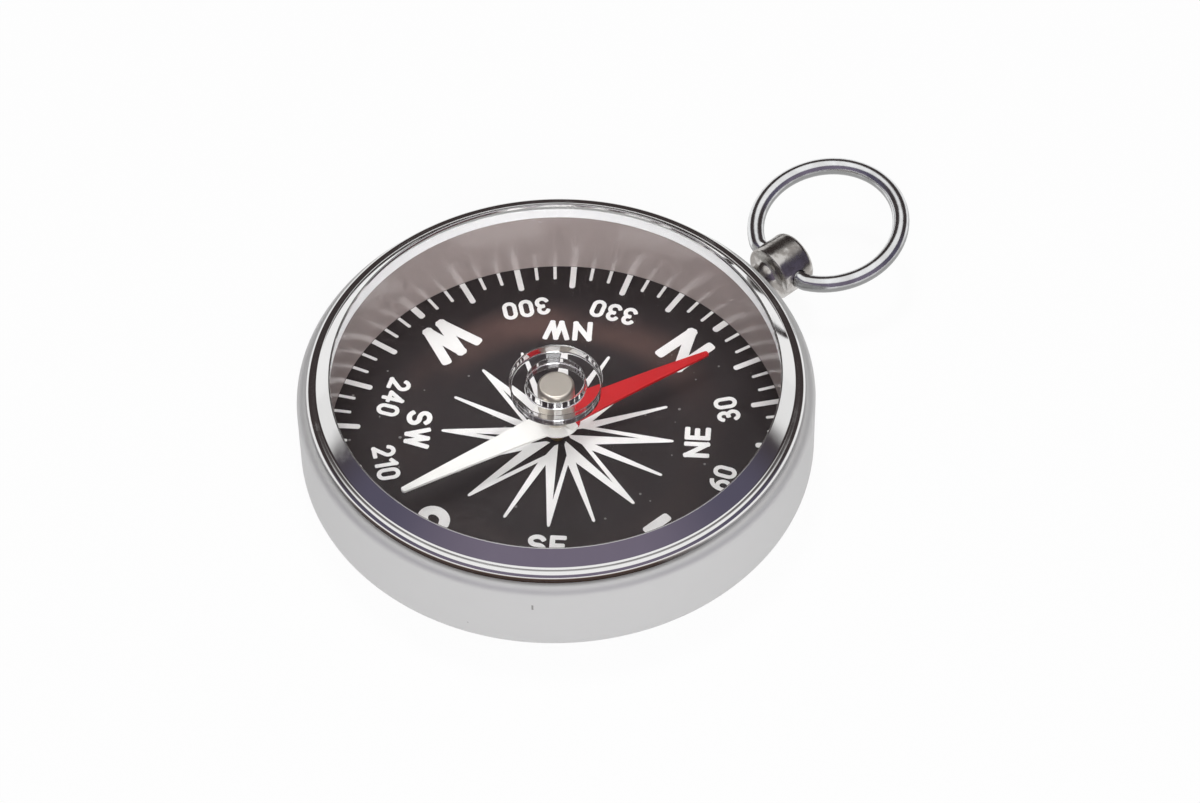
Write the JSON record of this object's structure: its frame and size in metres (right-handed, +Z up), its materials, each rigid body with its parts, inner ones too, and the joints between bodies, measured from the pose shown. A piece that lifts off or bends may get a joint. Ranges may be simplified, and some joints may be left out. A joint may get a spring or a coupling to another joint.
{
  "type": "pocket compass",
  "caption": "Round pocket compass: drawn metal case with a clear crystal, printed dial and a needle turning on a point, and a wire bow swinging in a knob on the side.",
  "frame": {"origin": "centre of the flat underside of the case", "axes": "+Z up out of the dial, +Y to the pendant at the dial's north mark, +X to the dial's east mark"},
  "size_m": [0.0446, 0.0614, 0.0101],
  "materials": {
    "satin_case": "satin",
    "black_dial": "matte black print with white marks",
    "grey_wall": "semi-gloss mauve grey",
    "white_seat": "satin white",
    "clear_crystal": "clear, polished",
    "bright_plating": "polished",
    "turned_brass": "turned",
    "hard_steel": "ground",
    "needle_paint": "one half red, the other half white",
    "nickel_cap": "nickel-washed, turned",
    "jewel": "polished"
  },
  "bodies": {
    "case": {"case_cup": "satin_case", "dial_plate": "black_dial", "spacer_ring": "grey_wall", "seat_ring": "white_seat", "crystal": "clear_crystal", "bezel_ring": "bright_plating", "pivot_base": "turned_brass", "pivot_pin": "hard_steel", "pendant": "bright_plating", "pendant_washer": "turned_brass"},
    "needle": {"needle_blade": "needle_paint", "needle_cap": "nickel_cap", "jewel_cup": "jewel"},
    "bow": {"bow_ring": "bright_plating"}
  },
  "joints": [
    {"name": "needle_turn", "type": "hinge", "parent": "case", "child": "needle", "pos_m": [0, 0, 0], "axis": [0, 0, 1], "continuous": true},
    {"name": "bow_swing", "type": "hinge", "parent": "case", "child": "bow", "pos_m": [0, 0.0262, 0.00445], "axis": [1, 0, 0], "range_deg": [-143, 125]}
  ]
}
